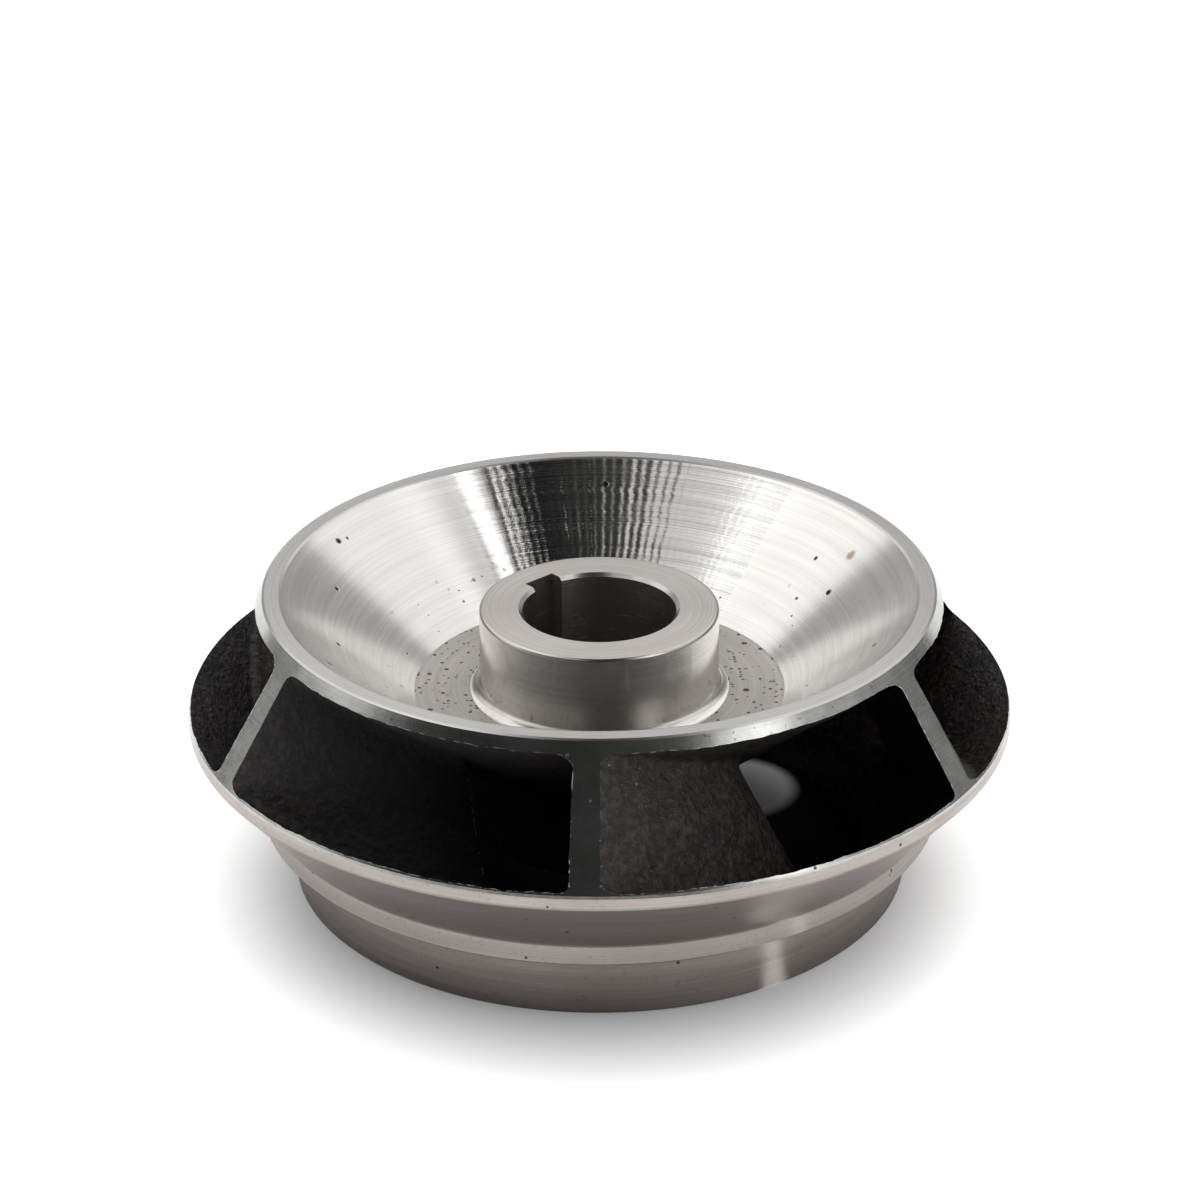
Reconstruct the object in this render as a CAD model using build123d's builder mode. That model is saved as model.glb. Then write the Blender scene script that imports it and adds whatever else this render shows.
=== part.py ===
from build123d import *
import os
from math import acos, atan2, cos, degrees, dist, hypot, log, radians, sin

# Closed mixed-flow pump impeller, cast in one piece and then turned.
# The shaft axis is Z. The eye ring stands on z = 0, and the back, with its dish and hub, is uppermost.
# Millimetres and degrees.

# Eye ring, collar and rim of the front shroud
eye_ring_radius = 60.5
eye_ring_wall = 8.5
eye_ring_height = 14.2
collar_step = 6.3
collar_height = 4.2
rim_radius = 80.2
rim_foot_height = 33.7
rim_band_height = 2.5
rim_lip = 0.6

# Throat that leads from the eye to the front wall of the passage
throat_radius = 17.0
throat_land = 3.8

# Back shroud: turned outlet band, flat land and dish
overall_height = 59.8
back_edge_radius = 64.9
back_land_width = 3.4
back_band_height = 2.3
dish_floor_radius = 36.2
dish_floor_wall = 4.8

# Hub above the dish floor, and the nose that carries it down into the eye
hub_radius = 23.3
hub_rise = 16.9
hub_edge_radius = 0.6
hub_foot_radius = 2.0
nose_radius = 25.0
nose_blend_radius = 22.0
nose_blend_height = 13.5
nose_land = 5.5
nose_chamfer = 1.5

# Keyed bore
bore_diameter = 30.0
bore_chamfer = 0.7
keyway_width = 7.0
keyway_depth = 2.5
keyway_azimuth = 133.0

# Vanes
vane_count = 6
vane_thickness = 2.4
vane_nose_thickness = 1.2
vane_nose_length = 4.0
vane_neck_share = 0.9
vane_body_length = 10.0
vane_root_depth = 1.6
trailing_edge_azimuth = -92.0
back_nose_setback = 21.0
front_nose_setback = 1.9
back_blade_wrap = 31.5
front_blade_wrap = 42.0
back_root_radius = 2.2
front_root_radius = 1.6

# Metal left on the outlet by the casting and turned away, and the edges broken after turning
turning_allowance = 3.0
vane_overrun = 6.0
tool_clearance = 20.0
edge_chamfer = 0.3
foot_chamfer = 0.5

# How near a wall an edge has to lie to be on it, and the step for a vane's direction
on_wall = 0.05
flow_step = 0.5


def flank_start(outlet, arc_centre, arc_radius):
    """Where a straight passage wall, run in from the outlet, touches the arc that leads it to the eye."""
    across = outlet[0] - arc_centre[0]
    along = outlet[1] - arc_centre[1]
    bearing = atan2(along, across) + acos(arc_radius / hypot(across, along))
    return (arc_centre[0] + arc_radius * cos(bearing), arc_centre[1] + arc_radius * sin(bearing))


def on_flank(start, outlet, distance):
    """The point of a straight passage wall at a distance past its outlet, or before it if negative."""
    share = 1 + distance / dist(start, outlet)
    return (start[0] + share * (outlet[0] - start[0]), start[1] + share * (outlet[1] - start[1]))


def bearing_of(point, centre):
    """Direction of a point from an arc's centre, in degrees."""
    return degrees(atan2(point[1] - centre[1], point[0] - centre[0]))


# Points of the half section, as (radius, height). One turned cone runs from the back edge to the rim.
eye_radius = eye_ring_radius - eye_ring_wall
collar_radius = eye_ring_radius + collar_step
collar_top = eye_ring_height + collar_height
back_edge = (back_edge_radius, overall_height)
rim_edge = (rim_radius, rim_foot_height + rim_band_height)
cone_spread = (rim_edge[0] - back_edge[0]) / (back_edge[1] - rim_edge[1])
back_outlet = (back_edge[0] + cone_spread * back_band_height, back_edge[1] - back_band_height)
front_outlet = (rim_edge[0] - cone_spread * rim_lip, rim_edge[1] + rim_lip)
nose_centre = (nose_radius + nose_blend_radius, nose_blend_height)
throat_centre = (eye_radius + throat_radius, throat_land)
back_start = flank_start(back_outlet, nose_centre, nose_blend_radius)
front_start = flank_start(front_outlet, throat_centre, throat_radius)
back_run_out = on_flank(back_start, back_outlet, vane_overrun)
front_run_out = on_flank(front_start, front_outlet, vane_overrun)
nose_face_height = nose_blend_height - nose_land

# A vane's nose is set back along each straight wall from where the wall begins
back_blade_length = dist(back_start, back_outlet) - back_nose_setback
front_blade_length = dist(front_start, front_outlet) - front_nose_setback

# The dish floor and the hub top follow from the passage wall under them
flank_slope = (back_outlet[1] - back_start[1]) / (back_outlet[0] - back_start[0])
wall_under_floor = back_outlet[1] - flank_slope * (back_outlet[0] - dish_floor_radius)
dish_floor_height = wall_under_floor + dish_floor_wall
hub_top = dish_floor_height + hub_rise

# The half sections lie on a meridian that passes clear of the vanes, midway between two of them
vane_pitch = 360 / vane_count
meridian_azimuth = radians(trailing_edge_azimuth + 0.5 * (front_blade_wrap + vane_pitch))
meridian = Plane(
    origin=(0, 0, 0),
    x_dir=(cos(meridian_azimuth), sin(meridian_azimuth), 0),
    z_dir=(sin(meridian_azimuth), -cos(meridian_azimuth), 0),
)


def vane_ends(run):
    """Back and front ends of a vane's middle line, at a run along the front wall from its leading edge.

    Both walls of the passage are cones there, and on each the vane follows a spiral of constant angle.
    """
    share = run / front_blade_length
    ends = []
    for start, outlet, length, wrap in (
        (back_start, back_outlet, back_blade_length, back_blade_wrap),
        (front_start, front_outlet, front_blade_length, front_blade_wrap),
    ):
        leading = on_flank(start, outlet, -length)
        point = on_flank(start, outlet, (share - 1) * length)
        turn = wrap * log(outlet[0] / point[0]) / log(outlet[0] / leading[0])
        azimuth = radians(trailing_edge_azimuth + turn)
        ends.append(Vector(point[0] * cos(azimuth), point[0] * sin(azimuth), point[1]))
    return ends


def vane_plane(run):
    """Plane of a vane's section, square to the flow, with x along the span from the front to the back."""
    back_end, front_end = vane_ends(run)
    back_next, front_next = vane_ends(run + flow_step)
    span = back_end - front_end
    flow = (back_next + front_next) - (back_end + front_end)
    flow = flow - span * (flow.dot(span) / span.dot(span))
    return Plane(origin=(back_end + front_end) * 0.5, x_dir=span, z_dir=flow)


def vane_roots(part, start, outlet):
    """The edges where the sides of the vanes meet the straight wall that ends at an outlet."""
    slope = (outlet[1] - start[1]) / (outlet[0] - start[0])

    def height_off_wall(edge):
        middle = edge.position_at(0.5)
        return abs(middle.Z - start[1] - slope * (hypot(middle.X, middle.Y) - start[0]))

    return part.edges().filter_by(GeomType.BSPLINE).filter_by(lambda edge: height_off_wall(edge) < on_wall)


def turned_edges(part, radius, height):
    """The circular edges that turning left at a radius and height."""
    return part.edges().filter_by(GeomType.CIRCLE).filter_by(
        lambda edge: abs(edge.radius - radius) < on_wall and abs(edge.arc_center.Z - height) < on_wall
    )


# One vane, thin at its nose and run out past the outlet, where it is turned flush with the shrouds
vane_sections = (
    (0, vane_nose_thickness),
    (vane_nose_length, vane_neck_share * vane_thickness),
    (vane_body_length, vane_thickness),
    (0.5 * (vane_body_length + front_blade_length), vane_thickness),
    (front_blade_length + vane_overrun, vane_thickness),
)
with BuildPart() as vane:
    for run, thickness in vane_sections:
        back_end, front_end = vane_ends(run)
        with BuildSketch(vane_plane(run)):
            Rectangle((back_end - front_end).length + 2 * vane_root_depth, thickness)
    loft()

with BuildPart() as impeller:
    # Outside of the casting, with the turning allowance still on its outlet
    with BuildSketch(meridian):
        Polygon(
            (0, 0),
            (eye_ring_radius, 0),
            (eye_ring_radius, eye_ring_height),
            (collar_radius, eye_ring_height),
            (collar_radius, collar_top),
            (rim_radius, rim_foot_height),
            (rim_radius + turning_allowance, rim_foot_height),
            (rim_radius + turning_allowance, rim_edge[1]),
            (back_edge_radius + turning_allowance, overall_height),
            (back_edge_radius - back_land_width, overall_height),
            (dish_floor_radius, dish_floor_height),
            (hub_radius, dish_floor_height),
            (hub_radius, hub_top),
            (0, hub_top),
            align=None,
        )
    revolve(axis=Axis.Z)
    fillet(turned_edges(impeller, hub_radius, dish_floor_height), hub_foot_radius)
    fillet(turned_edges(impeller, hub_radius, hub_top), hub_edge_radius)

    # The cored passage, from under the eye ring to past the outlet
    with BuildSketch(meridian):
        with BuildLine():
            Line(back_run_out, back_start)
            back_bearing = bearing_of(back_start, nose_centre)
            CenterArc(nose_centre, nose_blend_radius, back_bearing, 180 - back_bearing)
            Polyline(
                (nose_radius, nose_blend_height),
                (nose_radius, nose_face_height),
                (0, nose_face_height),
                (0, -tool_clearance),
                (eye_radius, -tool_clearance),
                (eye_radius, throat_land),
            )
            front_bearing = bearing_of(front_start, throat_centre)
            CenterArc(throat_centre, throat_radius, 180, front_bearing - 180)
            Polyline(front_start, front_run_out, back_run_out)
        make_face()
    revolve(axis=Axis.Z, mode=Mode.SUBTRACT)

    with PolarLocations(0, vane_count):
        add(vane.part)

    # The outlet cone and the rim are turned through shrouds and vanes together
    with BuildSketch(meridian):
        Polygon(
            (rim_radius, rim_foot_height),
            rim_edge,
            back_edge,
            (back_edge_radius, overall_height + tool_clearance),
            (rim_radius + tool_clearance, overall_height + tool_clearance),
            (rim_radius + tool_clearance, rim_foot_height),
            align=None,
        )
    revolve(axis=Axis.Z, mode=Mode.SUBTRACT)

    # Cast fillets where the sides of the vanes meet the back and front walls
    fillet(vane_roots(impeller, back_start, back_outlet), back_root_radius)
    fillet(vane_roots(impeller, front_start, front_outlet), front_root_radius)

    # Turned edges, broken all round
    chamfer(turned_edges(impeller, *back_edge), edge_chamfer)
    chamfer(turned_edges(impeller, back_edge_radius - back_land_width, overall_height), edge_chamfer)
    chamfer(turned_edges(impeller, *rim_edge), edge_chamfer)
    chamfer(turned_edges(impeller, rim_radius, rim_foot_height), edge_chamfer)
    chamfer(turned_edges(impeller, collar_radius, collar_top), edge_chamfer)
    chamfer(turned_edges(impeller, collar_radius, eye_ring_height), edge_chamfer)
    chamfer(turned_edges(impeller, eye_ring_radius, 0), foot_chamfer)
    chamfer(turned_edges(impeller, eye_radius, 0), foot_chamfer)
    chamfer(turned_edges(impeller, nose_radius, nose_face_height), nose_chamfer)

    # Bore through hub and nose, with its mouths chamfered before the keyway is broached
    with Locations((0, 0, hub_top)):
        Hole(bore_diameter / 2)
    chamfer(turned_edges(impeller, bore_diameter / 2, hub_top), bore_chamfer)
    chamfer(turned_edges(impeller, bore_diameter / 2, nose_face_height), bore_chamfer)
    with BuildSketch(Plane.XY.offset(hub_top)):
        with Locations(Rotation(0, 0, keyway_azimuth)):
            Rectangle(
                bore_diameter / 2 + keyway_depth,
                keyway_width,
                align=(Align.MIN, Align.CENTER),
            )
    extrude(amount=-overall_height, mode=Mode.SUBTRACT)

os.makedirs("parts", exist_ok=True)
impeller.part.label = "impeller"
export_step(impeller.part, "parts/impeller.step")
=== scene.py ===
from math import pi, radians

import bpy
import numpy as np
from mathutils import Matrix


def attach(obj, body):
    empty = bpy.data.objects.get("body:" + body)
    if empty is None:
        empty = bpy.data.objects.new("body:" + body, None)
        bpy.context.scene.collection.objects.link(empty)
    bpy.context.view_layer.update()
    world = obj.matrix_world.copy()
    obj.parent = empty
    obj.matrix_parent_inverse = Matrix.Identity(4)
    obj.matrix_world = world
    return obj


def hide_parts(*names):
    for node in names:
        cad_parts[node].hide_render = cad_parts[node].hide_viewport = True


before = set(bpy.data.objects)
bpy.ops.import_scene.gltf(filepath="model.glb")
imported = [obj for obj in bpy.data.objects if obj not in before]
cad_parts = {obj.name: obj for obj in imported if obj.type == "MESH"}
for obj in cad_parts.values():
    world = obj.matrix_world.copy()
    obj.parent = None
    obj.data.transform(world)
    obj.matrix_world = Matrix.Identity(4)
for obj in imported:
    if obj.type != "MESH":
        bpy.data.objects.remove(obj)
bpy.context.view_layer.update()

scene = bpy.context.scene
scene.view_settings.view_transform = "Standard"


# Camera: it looks along +Y and down at the object, with the shaft axis upright in the middle. A long lens
# far off keeps the circles of the turned faces nearly true ellipses.
camera = bpy.data.objects.new("camera", bpy.data.cameras.new("camera"))
scene.collection.objects.link(camera)
camera.data.sensor_width = 36.0
camera.data.lens = 109.678
camera.data.shift_x = 0.00065
camera.data.clip_end = 50.0
camera_place = (0.0, -0.63862, 0.36158)
camera_tilt = radians(64.44)
camera_roll = radians(-0.202)
camera.matrix_world = (
    Matrix.Translation(camera_place)
    @ Matrix.Rotation(camera_tilt, 4, "X")
    @ Matrix.Rotation(camera_roll, 4, "Z")
)
scene.camera = camera


# Studio: a pale floor without an edge in an even white room. Two bands of lit cloth, one above the other, go
# all round the object, and a third one closes them overhead. The turned faces mirror them.
class Term:
    """A value that changes over a surface. Python's operators on it add Math nodes to its material."""

    def __init__(self, finish, socket):
        self.finish = finish
        self.socket = socket

    def maths(self, operation, *values):
        return self.finish.node("ShaderNodeMath", {"operation": operation}, dict(enumerate(values)))

    def __add__(self, other):
        return self.maths("ADD", self, other)

    def __radd__(self, other):
        return self.maths("ADD", other, self)

    def __sub__(self, other):
        return self.maths("SUBTRACT", self, other)

    def __rsub__(self, other):
        return self.maths("SUBTRACT", other, self)

    def __mul__(self, other):
        return self.maths("MULTIPLY", self, other)

    def __rmul__(self, other):
        return self.maths("MULTIPLY", other, self)

    def __truediv__(self, other):
        return self.maths("DIVIDE", self, other)

    def __pow__(self, other):
        return self.maths("POWER", self, other)

    def high(self, other):
        return self.maths("MAXIMUM", self, other)

    def step(self, start, end):
        """0 below start and 1 above end, or the other way round, with a smooth rise between them."""
        return self.finish.node(
            "ShaderNodeMapRange",
            {"interpolation_type": "SMOOTHSTEP"},
            {"Value": self, "From Min": start, "From Max": end},
        )


class Finish:
    """A material being made: one call for any node, and the surface it ends in."""

    def __init__(self, name):
        self.material = bpy.data.materials.new(name)
        self.material.use_nodes = True
        self.tree = self.material.node_tree
        self.tree.nodes.clear()
        self.out = self.tree.nodes.new("ShaderNodeOutputMaterial")

    def node(self, kind, settings=None, values=None, output=0):
        new = self.tree.nodes.new(kind)
        for name, value in (settings or {}).items():
            if name == "stops":
                ramp = new.color_ramp
                while len(ramp.elements) < len(value):
                    ramp.elements.new(0.5)
                for element, (position, colour) in zip(ramp.elements, value):
                    element.position = position
                    element.color = (*colour, 1.0)
            else:
                setattr(new, name, value)
        for key, value in (values or {}).items():
            socket = new.inputs[key]
            if isinstance(value, Term):
                self.tree.links.new(value.socket, socket)
            else:
                socket.default_value = value
        return Term(self, new.outputs[output])

    def place(self):
        """Object coordinates as a vector, and their three parts in millimetres."""
        point = self.node("ShaderNodeTexCoord", output="Object")
        parts = self.node("ShaderNodeSeparateXYZ", {}, {0: point})
        sockets = parts.socket.node.outputs
        return point, *(Term(self, sockets[axis]) * 1000.0 for axis in "XYZ")

    def noise(self, vector, scale, detail=3.0, roughness=0.55):
        return self.node(
            "ShaderNodeTexNoise",
            {"noise_dimensions": "3D"},
            {"Vector": vector, "Scale": scale, "Detail": detail, "Roughness": roughness},
            "Fac",
        )

    def line_noise(self, along, scale, detail=2.0, roughness=0.6):
        """Noise that changes only with one number, as the marks of a lathe tool do."""
        return self.node(
            "ShaderNodeTexNoise",
            {"noise_dimensions": "1D"},
            {"W": along, "Scale": scale, "Detail": detail, "Roughness": roughness},
            "Fac",
        )

    def wave(self, angle):
        return self.node("ShaderNodeMath", {"operation": "SINE"}, {0: angle})

    def vector(self, x, y, z):
        return self.node("ShaderNodeCombineXYZ", {}, {0: x, 1: y, 2: z})

    def mix(self, below, above, share):
        """Two colours mixed by a share of the upper one."""
        mixed = self.node("ShaderNodeMix", {"data_type": "RGBA"}, {"Factor": share})
        node = mixed.socket.node
        for socket, colour in ((node.inputs[6], below), (node.inputs[7], above)):
            if isinstance(colour, Term):
                self.tree.links.new(colour.socket, socket)
            else:
                socket.default_value = (*colour, 1.0)
        return Term(self, node.outputs[2])

    def bump(self, height):
        """A normal bent by a height in millimetres."""
        values = {"Height": height, "Distance": 0.001, "Strength": 1.0}
        return self.node("ShaderNodeBump", {}, values, "Normal")

    def surface(self, shader):
        self.tree.links.new(shader.socket, self.out.inputs["Surface"])
        return self.material


# The floor: a sheet of paper that glows white further out and keeps the object's shadow near it, where its
# colour is also painted darker in front, as a painted shadow
floor = bpy.data.objects.new("floor", bpy.data.meshes.new("floor"))
scene.collection.objects.link(floor)
floor_reach = 12.0
floor_corners = floor_reach * np.array([(-1, -1, 0), (1, -1, 0), (1, 1, 0), (-1, 1, 0)])
floor.data.from_pydata(floor_corners.tolist(), [], [(0, 1, 2, 3)])
paper = Finish("floor paper")
ray = paper.node("ShaderNodeLightPath", output="Is Camera Ray").socket.node
camera_ray = Term(paper, ray.outputs["Is Camera Ray"]).high(Term(paper, ray.outputs["Is Transmission Ray"]))
glossy_ray = Term(paper, ray.outputs["Is Glossy Ray"])
_, floor_x, floor_y, _ = paper.place()


def from_point(across, away):
    """Distance on the floor from a point, in millimetres."""
    return ((floor_x - across) * (floor_x - across) + (floor_y - away) * (floor_y - away)) ** 0.5


# Under the eye the paper's colour is painted dark, as painted shade, but for one round patch where light
# falls through a passage. Beside the eye ring a streak of light lies on it, which only the steel shows.
painted_eye_shade = from_point(0.0, 0.0).step(60.0, 58.0) * from_point(27.5, 27.0).step(10.5, 14.5)
open_floor = 1.0 - painted_eye_shade
in_camera = from_point(0.0, -4.0).step(42.0, 92.0) * open_floor
in_steel = from_point(0.0, -8.0).step(50.0, 110.0) * open_floor
streak_x, streak_y = 33.0, -51.0
off_streak = (floor_x - streak_x) * 0.41 + (floor_y - streak_y) * 0.91
streak = off_streak.maths("ABSOLUTE", off_streak).step(3.6, 0.8)
streak = streak * from_point(streak_x, streak_y).step(38.0, 30.0)
painted_shadow_paper, far_sheet, painted_shade_paper = (0.62, 0.62, 0.62), (0.93, 0.93, 0.93), (0.02, 0.02, 0.02)
# Painted shadow: the paper's colour is darker near the object, most in front of it
sheet = paper.mix(painted_shadow_paper, far_sheet, from_point(0.0, -14.0).step(56.0, 80.0))
lit = paper.node("ShaderNodeBsdfDiffuse", {}, {"Color": paper.mix(sheet, painted_shade_paper, painted_eye_shade)}, "BSDF")
strength = camera_ray * in_camera * 0.8 + glossy_ray * (in_steel * 0.75 + streak * open_floor * 0.9)
glow = paper.node("ShaderNodeEmission", {}, {"Color": (1.0, 1.0, 1.0, 1.0), "Strength": strength}, "Emission")
floor.data.materials.append(paper.surface(paper.node("ShaderNodeAddShader", {}, {0: lit, 1: glow})))

world = bpy.data.worlds.new("room")
scene.world = world
world.use_nodes = True
background = world.node_tree.nodes["Background"]
background.inputs["Color"].default_value = (1.0, 1.0, 1.0, 1.0)
background.inputs["Strength"].default_value = 1.0

# Bearings run all round from behind on the left, -200 degrees, through the front, -90, to 160
first_bearing, last_bearing = -200.0, 160.0


def dome_band(name, elevations, reach=2.4, steps=90):
    """A band of a sphere round the object: point = reach x (cos e cos a, cos e sin a, sin e)."""
    bearings = np.radians(np.linspace(first_bearing, last_bearing, steps))
    a, e = np.meshgrid(bearings, np.radians(np.linspace(*elevations, steps)))
    points = reach * np.stack([np.cos(e) * np.cos(a), np.cos(e) * np.sin(a), np.sin(e)], axis=-1)
    corner = (np.arange(steps - 1)[:, None] * steps + np.arange(steps - 1)).ravel()
    quads = np.stack([corner, corner + 1, corner + steps + 1, corner + steps], axis=1)
    band = bpy.data.objects.new(name, bpy.data.meshes.new(name))
    band.data.from_pydata(points.reshape(-1, 3).tolist(), [], quads.tolist())
    scene.collection.objects.link(band)
    band.visible_camera = False
    return band


def brightness(cloth, share, stops, brightest):
    """A cloth's light, as a part of its brightest, from its stops of (share of the way across, radiance)."""
    return cloth.node(
        "ShaderNodeValToRGB",
        {"stops": [(at, (radiance / brightest,) * 3) for at, radiance in stops]},
        {"Fac": share},
        "Color",
    )


def bearing_share(cloth):
    """0 at the first bearing and 1 at the last, for each point of a cloth."""
    _, x, y, _ = cloth.place()
    from_front = cloth.node("ShaderNodeMath", {"operation": "ARCTAN2"}, {0: x, 1: 0.0 - y})
    turned = from_front * (180 / pi) + (-90.0 - first_bearing)
    return turned.maths("WRAP", turned, 360.0, 0.0) / 360.0


def bearing(degrees_round):
    """The same share, for a bearing in degrees."""
    return (degrees_round - first_bearing) / 360.0


def lean(across):
    """0 where the cloth leans as far to the left as up, 0.5 overhead and 1 as far to the right as up."""
    return across * 0.5 + 0.5


# The two bands: radiance by bearing, low down and above it
low_wall = [
    (-198, 0.77),
    (-192, 0.77),
    (-177, 1.14),
    (-162, 0.33),
    (-147, 0.19),
    (-132, 0.09),
    (-117, 0.0),
    (-66, 0.0),
    (-56, 0.25),
    (-48, 0.93),
    (-41, 1.9),
    (-34, 1.85),
    (-27, 1.4),
    (-20, 0.6),
    (-7, 0.65),
    (10, 0.46),
    (30, 0.2),
    (50, 0.4),
    (77, 0.36),
    (105, 0.48),
    (145, 0.3),
    (158, 0.5),
]
high_wall = [
    (-198, 1.16),
    (-188, 1.16),
    (-170, 0.28),
    (-152, 0.03),
    (-100, 0.035),
    (-77, 0.08),
    (-62, 0.11),
    (-53, 0.4),
    (-43, 2.0),
    (-34, 2.5),
    (-27, 1.6),
    (-18, 0.6),
    (-5, 1.0),
    (35, 1.05),
    (85, 1.25),
    (158, 1.2),
]
low_edge, middle_edge, high_edge, crown = 1.0, 27.0, 49.0, 89.9
for name, elevations, stops in (
    ("low wall", (low_edge, middle_edge), low_wall),
    ("high wall", (middle_edge, high_edge), high_wall),
):
    wall = dome_band(name, elevations)
    cloth = Finish(name)
    brightest = max(radiance for _, radiance in stops)
    share_stops = [(bearing(at), radiance) for at, radiance in stops]
    light = brightness(cloth, bearing_share(cloth), share_stops, brightest)
    glow = cloth.node("ShaderNodeEmission", {}, {"Color": light, "Strength": brightest}, "Emission")
    wall.data.materials.append(cloth.surface(glow))

# Overhead, which the turned dish shows: radiance by how far it leans, in front of the axis and behind it
front_overhead = [
    (-1.0, 0.75),
    (-0.83, 0.8),
    (-0.81, 1.9),
    (-0.70, 1.9),
    (-0.67, 0.78),
    (-0.32, 0.72),
    (-0.24, 0.64),
    (-0.17, 0.22),
    (-0.06, 0.06),
    (0.34, 0.0),
    (0.40, 0.22),
    (0.44, 0.5),
    (0.475, 0.9),
    (0.485, 1.9),
    (0.545, 1.9),
    (0.56, 0.5),
    (0.75, 0.4),
    (1.0, 0.4),
]
back_overhead = [
    (-1.0, 1.25),
    (-0.7, 1.4),
    (-0.27, 1.5),
    (-0.15, 0.1),
    (0.05, 0.0),
    (0.17, 0.3),
    (0.30, 0.8),
    (0.40, 1.8),
    (0.47, 1.5),
    (0.55, 0.85),
    (0.68, 1.2),
    (1.0, 1.3),
]
overhead = dome_band("overhead", (high_edge, crown))
cloth = Finish("overhead cloth")
_, cloth_x, cloth_y, cloth_z = cloth.place()
brightest = 2.0
halves = [
    brightness(cloth, lean(cloth_x / cloth_z), [(lean(at), radiance) for at, radiance in stops], brightest)
    for stops in (front_overhead, back_overhead)
]
light = cloth.mix(*halves, (cloth_y / cloth_z).step(-0.04, 0.08))
glow = cloth.node("ShaderNodeEmission", {}, {"Color": light, "Strength": brightest}, "Emission")
overhead.data.materials.append(cloth.surface(glow))


# The impeller: one stainless casting. Its passages keep the cast skin, and the rest is turned on a lathe.
# Its skin is the CAD node's own, with the passages uneven as a sand core leaves them. These sizes, in
# millimetres, tell the faces apart, and slack is how far past one a face may reach.
overall_height = 59.8
back_edge_radius, dish_edge_radius = 64.9, 61.5
dish_floor_radius, dish_floor_height = 36.2, 37.862
hub_radius, hub_edge_radius, hub_foot_radius = 23.3, 0.6, 2.0
rim_radius, rim_edge_height = 80.2, 36.2
eye_ring_radius, eye_radius = 60.5, 52.0
keyway_reach = 17.85
slack = 0.4
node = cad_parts["impeller"]
cad = node.data
corner_count = 3 * len(cad.polygons)
flat = np.empty(3 * len(cad.vertices))
cad.vertices.foreach_get("co", flat)
points = flat.reshape(-1, 3)
flat = np.empty(corner_count, np.int64)
cad.loops.foreach_get("vertex_index", flat)
triangles = flat.reshape(-1, 3)
flat = np.empty(3 * corner_count)
cad.corner_normals.foreach_get("vector", flat)
normals = flat.reshape(-1, 3, 3)

# Each face of the solid is an island of triangles: give every vertex the lowest number on its island
island = np.arange(len(points))
while True:
    lowest = island[triangles].min(axis=1)
    spread = island.copy()
    np.minimum.at(spread, triangles.ravel(), np.repeat(lowest, 3))
    spread = spread[spread]
    if np.array_equal(spread, island):
        break
    island = spread

radius = np.hypot(points[:, 0], points[:, 1])
height = points[:, 2]
names, island_index = np.unique(island, return_inverse=True)


def over_islands(values, pick):
    """The lowest or highest of the vertices' values on each island."""
    found = np.full(len(names), np.inf if pick is np.minimum else -np.inf)
    pick.at(found, island_index, values)
    return found


inner, outer = over_islands(radius, np.minimum) * 1000, over_islands(radius, np.maximum) * 1000
low, high = over_islands(height, np.minimum) * 1000, over_islands(height, np.maximum) * 1000

DISH, DISH_FLOOR, LAND, HUB, OUTLET, SHROUD, BORE, CAST, HUB_ROUND = range(9)
kind = np.full(len(names), CAST)
kind[(outer < back_edge_radius + slack) & (low > overall_height - slack)] = LAND
above_floor = low > dish_floor_height - slack
kind[above_floor & (outer < dish_edge_radius) & (inner > dish_floor_radius - slack)] = DISH
kind[above_floor & (high < dish_floor_height + slack) & (outer < dish_floor_radius + slack)] = DISH_FLOOR
kind[(low > dish_floor_height + slack) & (outer < hub_radius + slack)] = HUB
on_cone = (inner > back_edge_radius - slack) & (outer > rim_radius - slack)
kind[on_cone & (low > rim_edge_height - slack)] = OUTLET
kind[(inner > eye_ring_radius - slack) & (outer < rim_radius + slack) & (high < rim_edge_height)] = SHROUD
kind[(inner > eye_radius - slack) & (high < 0.5 + slack)] = SHROUD
kind[outer < keyway_reach + slack] = BORE
is_edge = (inner > hub_radius - hub_edge_radius - slack) & (high - low < hub_edge_radius + slack)
kind[(kind == HUB) & is_edge] = HUB_ROUND
is_foot = (inner > hub_radius - slack) & (outer < hub_radius + hub_foot_radius + slack)
kind[is_foot & above_floor & (high < dish_floor_height + hub_foot_radius + slack)] = HUB_ROUND
face_kind = kind[island_index[triangles[:, 0]]]

# Weld the islands into one closed skin
_, first, welded = np.unique(np.round(points, 7), axis=0, return_index=True, return_inverse=True)
points, triangles = points[first], welded.reshape(-1)[triangles]
whole = (triangles != np.roll(triangles, 1, axis=1)).all(axis=1)
triangles, normals, face_kind = triangles[whole], normals[whole], face_kind[whole]


def edges_of(triangles):
    """Every edge once, and the three of each triangle: from its corner 0 to 1, 1 to 2 and 2 to 0."""
    pairs = np.stack([triangles, np.roll(triangles, -1, axis=1)], axis=2).reshape(-1, 2)
    edges, used = np.unique(np.sort(pairs, axis=1), axis=0, return_inverse=True)
    return edges, used.reshape(-1, 3)


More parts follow.
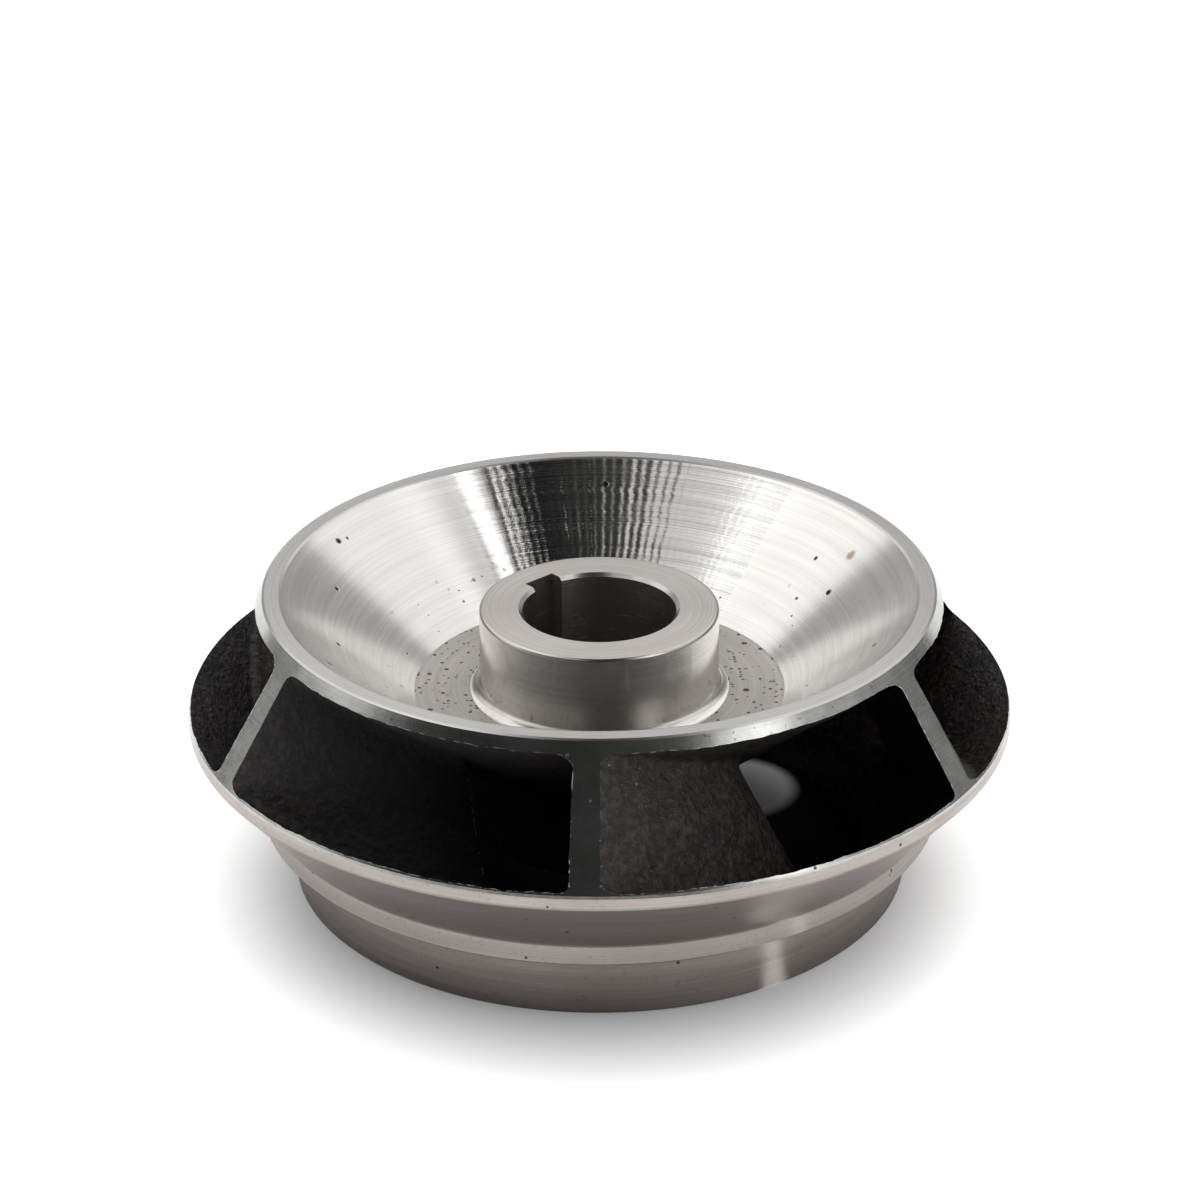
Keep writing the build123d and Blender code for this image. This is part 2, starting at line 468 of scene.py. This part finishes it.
def halve_edges(points, triangles, normals, face_kind, finer, longest):
    """Cuts one kind of face finer: each of its edges over the longest is halved, with the triangles on it.

    The middle of an edge of a turned round is moved out, so that its radius is the mean of its ends' radii.
    """
    edges, used = edges_of(triangles)
    lengths = np.linalg.norm(points[edges[:, 0]] - points[edges[:, 1]], axis=1)
    on_finer = np.zeros(len(edges), bool)
    on_finer[used[face_kind == finer]] = True
    halved = on_finer & (lengths > longest)
    middle = np.cumsum(halved) - 1 + len(points)
    middles_of = points[edges[halved]].mean(axis=1)
    if finer != CAST:
        wanted = np.hypot(points[edges[halved]][:, :, 0], points[edges[halved]][:, :, 1]).mean(axis=1)
        middles_of[:, :2] *= (wanted / np.hypot(middles_of[:, 0], middles_of[:, 1]))[:, None]
    points = np.concatenate([points, middles_of])
    marks = halved[used]
    count = marks.sum(axis=1)
    # Turn each triangle so that a lone cut edge comes first, or a lone whole edge last
    after_whole = np.where(count == 2, (marks.argmin(axis=1) + 1) % 3, 0)
    turn = np.where(count == 1, marks.argmax(axis=1), after_whole)
    order = (np.arange(3) + turn[:, None]) % 3
    triangles = np.take_along_axis(triangles, order, axis=1)
    normals = np.take_along_axis(normals, order[:, :, None], axis=1)
    middles = np.take_along_axis(middle[used], order, axis=1)
    between = normals + np.roll(normals, -1, axis=1)
    between /= np.linalg.norm(between, axis=2, keepdims=True)
    corners = np.concatenate([triangles, middles], axis=1)
    corner_normals = np.concatenate([normals, between], axis=1)
    cuts = {
        0: ((0, 1, 2),),
        1: ((0, 3, 2), (3, 1, 2)),
        2: ((3, 1, 4), (0, 3, 4), (0, 4, 2)),
        3: ((0, 3, 5), (3, 1, 4), (5, 4, 2), (3, 4, 5)),
    }
    new_triangles, new_normals, new_kind = [], [], []
    for cut, pieces in cuts.items():
        these = count == cut
        for piece in pieces:
            new_triangles.append(corners[these][:, piece])
            new_normals.append(corner_normals[these][:, piece])
            new_kind.append(face_kind[these])
    return points, np.concatenate(new_triangles), np.concatenate(new_normals), np.concatenate(new_kind)


# Metres: the longest edge that each round of cutting leaves whole
mesh = points, triangles, normals, face_kind
for longest in (0.012, 0.006, 0.003, 0.0024, 0.0018, 0.0018, 0.0018):
    mesh = halve_edges(*mesh, CAST, longest)
for longest in (0.0016, 0.0008, 0.0005):
    mesh = halve_edges(*mesh, HUB_ROUND, longest)
points, triangles, normals, face_kind = mesh

# The rounds at the top and foot of the hub are parts of a torus. Each point goes to its distance from the
# middle of its arc, and each normal points from there, or to there on the hollow foot.
hub_top, floor_height = high[kind == HUB].max() / 1000, low[kind == DISH_FLOOR].min() / 1000
edge_radius, foot_radius = hub_edge_radius / 1000, hub_foot_radius / 1000
for arc_radius, middle_radius, middle_height, side in (
    (edge_radius, hub_radius / 1000 - edge_radius, hub_top - edge_radius, 1.0),
    (foot_radius, hub_radius / 1000 + foot_radius, floor_height + foot_radius, -1.0),
):
    near_arc = np.abs(points[triangles[:, 0], 2] - middle_height) < 1.2 * foot_radius
    faces = np.flatnonzero((face_kind == HUB_ROUND) & near_arc)
    near = np.unique(triangles[faces])
    radius = np.hypot(points[near, 0], points[near, 1])
    across, up = radius - middle_radius, points[near, 2] - middle_height
    stretch = arc_radius / np.hypot(across, up)
    points[near, :2] *= ((middle_radius + across * stretch) / radius)[:, None]
    points[near, 2] = middle_height + up * stretch
    corners = points[triangles[faces]]
    radius = np.hypot(corners[:, :, 0], corners[:, :, 1])
    outward_share = side * (radius - middle_radius) / arc_radius / radius
    normals[faces, :, :2] = corners[:, :, :2] * outward_share[:, :, None]
    normals[faces, :, 2] = side * (corners[:, :, 2] - middle_height) / arc_radius
face_kind[face_kind == HUB_ROUND] = HUB


def waves(points, length, count, seed):
    """Smooth noise of about unit size: the sum of plane sine waves near one length, in seeded directions."""
    draw = np.random.default_rng(seed)
    direction = draw.normal(size=(count, 3))
    direction /= np.linalg.norm(direction, axis=1, keepdims=True)
    stretch = draw.uniform(0.7, 1.5, count)
    phase = draw.uniform(0, 2 * pi, count)
    angle = points @ (direction * (2 * pi / (length * stretch))[:, None]).T + phase
    return np.sin(angle).sum(axis=1) * (2 / count) ** 0.5


def point_normals(of_kind):
    """Each point's mean normal over the corners that are, or are not, on the cast skin."""
    total = np.zeros_like(points)
    np.add.at(total, triangles[of_kind].ravel(), normals[of_kind].reshape(-1, 3))
    length = np.linalg.norm(total, axis=1, keepdims=True)
    return total / np.maximum(length, 1e-9), length[:, 0] > 1e-6


# The cast skin is uneven by a tenth or two, and where the cutter met it the turned edges wander with it.
# Each wave is its height in metres, then its length, how many sines it sums, and its seed.
cast = face_kind == CAST
foot_chamfer_top = 0.0006
outward, has_cast = point_normals(cast)
turned_outward, has_turned = point_normals(~cast)
unevenness = 0.00006 * waves(points, 0.012, 28, 3) + 0.00004 * waves(points, 0.0034, 36, 5)
edge = has_cast & has_turned
unevenness = np.where(edge, unevenness * 0.8 + 0.00006 * waves(points, 0.0017, 36, 9), unevenness)
shift = outward * unevenness[:, None]
shift -= np.where(edge[:, None], turned_outward * (shift * turned_outward).sum(axis=1, keepdims=True), 0.0)
flat_foot = points[:, 2] < foot_chamfer_top
shift[~has_cast | flat_foot] = 0.0
points = points + shift
face_normals = np.cross(
    points[triangles[:, 1]] - points[triangles[:, 0]], points[triangles[:, 2]] - points[triangles[:, 0]]
)
smooth = np.zeros_like(points)
np.add.at(smooth, triangles[cast].ravel(), np.repeat(face_normals[cast], 3, axis=0))
smooth /= np.maximum(np.linalg.norm(smooth, axis=1, keepdims=True), 1e-20)
normals[cast] = smooth[triangles[cast]]

impeller = bpy.data.objects.new("impeller_body", bpy.data.meshes.new("impeller_body"))
scene.collection.objects.link(impeller)
impeller.data.from_pydata(points.tolist(), [], triangles.tolist())
impeller.data.polygons.foreach_set("use_smooth", np.ones(len(triangles), bool))
impeller.data.polygons.foreach_set("material_index", face_kind)
impeller.data.update()
impeller.data.normals_split_custom_set(normals.reshape(-1, 3).tolist())


def lathe(finish):
    """Where a point is on the lathe: its vector, x, y, z and radius in mm, and x and y over the radius."""
    point, x, y, z = finish.place()
    radius = (x * x + y * y) ** 0.5
    return point, x, y, z, radius, x / radius, y / radius


def from_axis_point(x, y, across, away):
    """Distance, seen along the shaft axis, from a point given in millimetres."""
    return ((x - across) * (x - across) + (y - away) * (y - away)) ** 0.5


def streaks(finish, along, u, v, width, arcs, detail=3.0, roughness=0.6):
    """Tool marks: noise that is fine along the cut, by its width in mm, and long round it, by arcs a turn."""
    return finish.noise(finish.vector(u * arcs, v * arcs, along / width), 1.0, detail, roughness)


def pits(finish, point, spacing, size, share):
    """Small open pores, at the middles of some cells of a broken-up space: 1 in a pore and 0 outside."""
    values = {"Vector": point, "Scale": 1000.0 / spacing}
    cells = finish.node("ShaderNodeTexVoronoi", {"voronoi_dimensions": "3D"}, values, "Distance")
    chance = Term(finish, cells.socket.node.outputs["Color"])
    pick = finish.node("ShaderNodeSeparateColor", {}, {0: chance}, 0)
    reach = finish.node("ShaderNodeSeparateColor", {}, {0: chance}, 1) * (size / spacing)
    return (cells - reach).step(0.03, -0.03) * pick.step(share, share - 0.02)


def edge_glint_mask(finish, reach, spread):
    """Where painted glints go: 1 within a reach of a sharp edge, where it is broken by noise of a given
    scale, and 0 elsewhere.
    """
    rounded = finish.node("ShaderNodeBevel", {"samples": 4}, {"Radius": reach})
    true = finish.node("ShaderNodeNewGeometry", output="Normal")
    even = finish.node("ShaderNodeVectorMath", {"operation": "DOT_PRODUCT"}, {0: rounded, 1: true}, "Value")
    return even.step(0.985, 0.90) * spread


def steel(finish, colour, roughness, anisotropic, height):
    """Turned steel: its shine is drawn out across the tool marks."""
    return finish.surface(
        finish.node(
            "ShaderNodeBsdfPrincipled",
            {},
            {
                "Base Color": colour,
                "Metallic": 1.0,
                "Roughness": roughness,
                "Anisotropic": anisotropic,
                "Anisotropic Rotation": 0.25,
                "Normal": finish.bump(height),
            },
            "BSDF",
        )
    )


# Dish: fine turning rings and pores low down. One sector was cut again and polished, and the tool chattered
# there: bearings are in radians, and the chatter's ridges are counted by the turn.
sector_start, sector_end = 0.86, 2.095
chatter_ridges, slow_ridges = 182.0, 61.0
dish_slant = 1.3231
dish = Finish("turned dish")
point, x, y, _, radius, u, v = lathe(dish)
along = radius * dish_slant
bearing_round = dish.node("ShaderNodeMath", {"operation": "ARCTAN2"}, {0: y, 1: x})
fine = streaks(dish, along, u, v, 0.22, 0.6, 2.0)
broad = streaks(dish, along, u, v, 1.5, 1.4, 2.0)
rings = dish.line_noise(along, 0.75, 4.0, 0.8)
drift = streaks(dish, along, u, v, 3.0, 2.0, 3.0)
chatter = bearing_round * chatter_ridges + drift * 5.0 + rings * 2.0
slow_chatter = bearing_round * slow_ridges + drift * 4.0 + rings
polished = bearing_round.step(sector_end + 0.015, sector_end - 0.015) * bearing_round.step(
    sector_start - 0.01, sector_start + 0.01
)
swell = bearing_round.step(1.78, 1.62) * bearing_round.step(1.18, 1.34)
calm = bearing_round.step(1.99, 1.95) * 0.95 + 0.05
uneven = dish.noise(dish.vector(u * 5.0, v * 5.0, along / 4.0), 1.0, 3.0)
strength = (uneven * 1.8 - 0.3) * (swell * 1.7 + 0.55)
lines = (rings - 0.5).maths("ABSOLUTE", rings - 0.5).step(0.045, 0.0)
grit_and_glints = streaks(dish, along, u, v, 0.6, 75.0, 3.0)
height = (
    dish.wave(chatter) * strength * 0.013
    + dish.wave(slow_chatter) * strength * 0.014
    + rings * 0.045
    + grit_and_glints * 0.022
) * (polished * 0.93 + 0.07) * calm
patchy = dish.noise(point, 80.0, 2.0).step(0.42, 0.6)
pores = pits(dish, point, 2.2, 0.5, 0.6) * patchy * radius.step(50.0, 38.0)
stray = pits(dish, point, 6.5, 0.8, 0.35)
marks = pores.high(stray)
tone = dish.mix((0.72, 0.70, 0.675), (0.84, 0.825, 0.805), (fine * 0.5 + broad * 0.6).step(0.35, 0.75))
tone = dish.mix(tone, (0.36, 0.35, 0.335), lines * polished * 0.65)
# Painted glints: white flecks in the polished sector, on the same noise as the grit bump
tone = dish.mix(tone, (1.0, 1.0, 1.0), (grit_and_glints - 0.55) * polished * 1.0)
rust = from_axis_point(x, y, 50.3, 23.6) + (fine - 0.5) * 1.6
pore = from_axis_point(x, y, 43.6, 28.5)
tone = dish.mix(tone, (0.30, 0.20, 0.11), rust.step(1.3, 0.5) * 0.8)
# The pores' dark colour is painted shade in them
tone = dish.mix(tone, (0.07, 0.035, 0.022), marks.high(pore.step(0.5, 0.3)))
impeller.data.materials.append(
    steel(dish, tone, 0.16 - polished * 0.09 + fine * 0.05 + marks * 0.4, 0.85, height - marks * 0.06)
)

# Dish floor: duller, with coarser rings and the most pores
dish_floor = Finish("turned dish floor")
point, _, _, _, radius, u, v = lathe(dish_floor)
fine = streaks(dish_floor, radius, u, v, 0.25, 0.6, 2.0)
rings = dish_floor.line_noise(radius, 0.7, 2.0)
by_an_edge = radius.step(33.5, 35.2).high(radius.step(27.4, 25.8))
patchy = dish_floor.noise(point, 90.0, 2.0).step(0.40, 0.52).high(by_an_edge)
marks = pits(dish_floor, point, 1.1, 0.42, 0.7) * patchy
marks = marks.high(pits(dish_floor, point, 2.6, 0.7, 0.45))
tone = dish_floor.mix((0.34, 0.32, 0.30), (0.43, 0.41, 0.39), (fine * 0.4 + rings * 0.5).step(0.3, 0.65))
# The pores' dark colour is painted shade in them
tone = dish_floor.mix(tone, (0.07, 0.03, 0.02), marks)
impeller.data.materials.append(
    steel(dish_floor, tone, 0.30 + fine * 0.08, 0.5, fine * 0.003 + rings * 0.006 - marks * 0.05)
)

# Land round the dish: a narrow faced ring
land = Finish("faced land")
point, _, _, _, radius, u, v = lathe(land)
fine = streaks(land, radius, u, v, 0.18, 0.6, 2.0)
cloud = land.noise(point, 60.0, 3.0)
tone = land.mix((0.50, 0.48, 0.465), (0.59, 0.57, 0.555), fine.step(0.3, 0.7))
tone = land.mix(tone, (0.50, 0.455, 0.43), cloud.step(0.45, 0.75) * 0.5)
impeller.data.materials.append(steel(land, tone, 0.25 + fine * 0.06, 0.7, fine * 0.001))

# Hub: its top is faced and its side turned, and both are a little stained. The side's colour is painted
# lighter than the top's, as painted light.
hub = Finish("turned hub")
point, _, _, z, radius, u, v = lathe(hub)
fine = streaks(hub, radius * 0.7 + z * 0.7, u, v, 0.2, 0.6, 2.0)
cloud = hub.noise(point, 75.0, 4.0)
on_side = z.step(54.5, 54.0)
top_tone = hub.mix((0.52, 0.495, 0.47), (0.60, 0.57, 0.545), fine.step(0.3, 0.7))
# Painted light: the side gets a lighter copy of the top's colour
painted_lit_side_tone = hub.mix((0.68, 0.665, 0.635), (0.78, 0.765, 0.735), fine.step(0.3, 0.7))
tone = hub.mix(top_tone, painted_lit_side_tone, on_side)
tone = hub.mix(tone, (0.52, 0.48, 0.43), cloud.step(0.45, 0.72) * (0.5 + on_side * 0.3))
impeller.data.materials.append(steel(hub, tone, 0.20 - on_side * 0.05 + fine * 0.04, 0.75, cloud * 0.01))

# Outlet cone: turned through both shrouds and the ends of the vanes
outlet = Finish("turned outlet")
point, _, _, z, _, u, v = lathe(outlet)
along = z * 1.19
fine = streaks(outlet, along, u, v, 0.25, 1.0, 2.0)
cloud = outlet.noise(point, 160.0, 4.0, 0.65)
specks = outlet.noise(point, 900.0, 2.0).step(0.66, 0.72)
marks = pits(outlet, point, 2.0, 0.3, 0.35)
tone = outlet.mix((0.36, 0.36, 0.345), (0.52, 0.52, 0.505), (fine * 0.4 + cloud * 0.7).step(0.35, 0.75))
# The pores' dark colour is painted shade in them
tone = outlet.mix(tone, (0.10, 0.08, 0.07), marks.high(specks * 0.5))
# Painted glints: a light colour along the outlet's sharp edges
outlet_edge_glints = edge_glint_mask(outlet, 0.00022, outlet.noise(point, 700.0, 2.0).step(0.45, 0.6))
tone = outlet.mix(tone, (0.95, 0.93, 0.90), outlet_edge_glints * 0.8)
impeller.data.materials.append(
    steel(outlet, tone, 0.14 + cloud * 0.08 + marks * 0.3 + outlet_edge_glints * 0.4, 0.5, cloud * 0.03 - marks * 0.04)
)

# Front shroud outside: rim, long cone, collar and wear ring, turned and dulled. Below the rim band its colour
# is painted darker than on it, as painted shade.
shroud = Finish("turned shroud")
point, _, _, z, radius, u, v = lathe(shroud)
along = z + radius
fine = streaks(shroud, along, u, v, 0.3, 0.8, 2.0)
broad = streaks(shroud, along, u, v, 2.0, 1.6, 2.0)
cloud = shroud.noise(point, 55.0, 4.0)
specks = shroud.noise(point, 1100.0, 2.0).step(0.6, 0.72)
marks = pits(shroud, point, 3.4, 0.45, 0.3)
on_rim = z.step(33.4, 33.8)
# Painted shade: below the rim band the shroud gets this darker copy of the rim band's colour
painted_shade_tone = shroud.mix((0.32, 0.286, 0.27), (0.41, 0.376, 0.358), (fine * 0.5 + broad * 0.6).step(0.35, 0.75))
bright = shroud.mix((0.38, 0.335, 0.31), (0.47, 0.435, 0.415), (fine * 0.5 + broad * 0.6).step(0.35, 0.75))
tone = shroud.mix(painted_shade_tone, bright, on_rim)
tone = shroud.mix(tone, (0.32, 0.275, 0.25), cloud.step(0.42, 0.75) * 0.5)
tone = shroud.mix(tone, (0.18, 0.155, 0.14), specks * 0.35)
# The pores' dark colour is painted shade in them
tone = shroud.mix(tone, (0.07, 0.05, 0.04), marks)
impeller.data.materials.append(
    steel(shroud, tone, 0.26 + fine * 0.08, 0.75, fine * 0.003 + cloud * 0.02 - marks * 0.05)
)

# Bore and keyway: bored and broached, in the shade
bore = Finish("bored")
_, _, _, z, _, u, v = lathe(bore)
fine = streaks(bore, z, u, v, 0.3, 2.0)
tone = bore.mix((0.52, 0.505, 0.49), (0.68, 0.665, 0.645), fine)
impeller.data.materials.append(steel(bore, tone, 0.22 + fine * 0.08, 0.7, fine * 0.002))

# Cast skin of the passages: blackened, pebbly and dull, with a few bright grains. Painted shade darkens it,
# most to one side, bright flecks lie by the top of one vane, and painted glints lie along the edges where the
# cutter broke through.
skin = Finish("cast skin")
point, x, y, z = skin.place()
pebbles = skin.noise(point, 700.0, 4.0, 0.68)
lumps = skin.noise(point, 230.0, 3.0, 0.6)
grains = skin.noise(point, 1500.0, 2.0).step(0.68, 0.76)
# Painted shade: the skin's colour darkens round a point to one side of the axis
painted_passage_shade = from_axis_point(x, y, -26.0, -24.0).step(58.0, 22.0)
tone = skin.mix((0.008, 0.006, 0.005), (0.070, 0.052, 0.045), (pebbles * 0.85 + lumps * 0.2).step(0.44, 0.68))
tone = skin.mix(tone, (0.24, 0.19, 0.165), grains * 0.7)
tone = skin.mix(tone, (0.003, 0.003, 0.0027), painted_passage_shade * 0.93)
flecks = pits(skin, point, 1.3, 0.22, 0.6)
flecks = flecks * from_axis_point(x, y, 5.5, -68.0).step(8.0, 3.0) * z.step(47.0, 53.0)
tone = skin.mix(tone, (0.75, 0.71, 0.66), flecks * 0.9)
# Painted glints: a light colour along the skin's sharp edges
skin_edge_glints = edge_glint_mask(skin, 0.00030, skin.noise(point, 900.0, 2.0).step(0.50, 0.62))
tone = skin.mix(tone, (0.62, 0.56, 0.50), skin_edge_glints * 0.7)
impeller.data.materials.append(
    skin.surface(
        skin.node(
            "ShaderNodeBsdfPrincipled",
            {},
            {
                "Base Color": tone,
                "Metallic": 0.0,
                "Roughness": 0.42 + painted_passage_shade * 0.4,
                "Normal": skin.bump(pebbles * 0.9 + lumps * 0.5),
            },
            "BSDF",
        )
    )
)

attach(impeller, "root")
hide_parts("impeller")
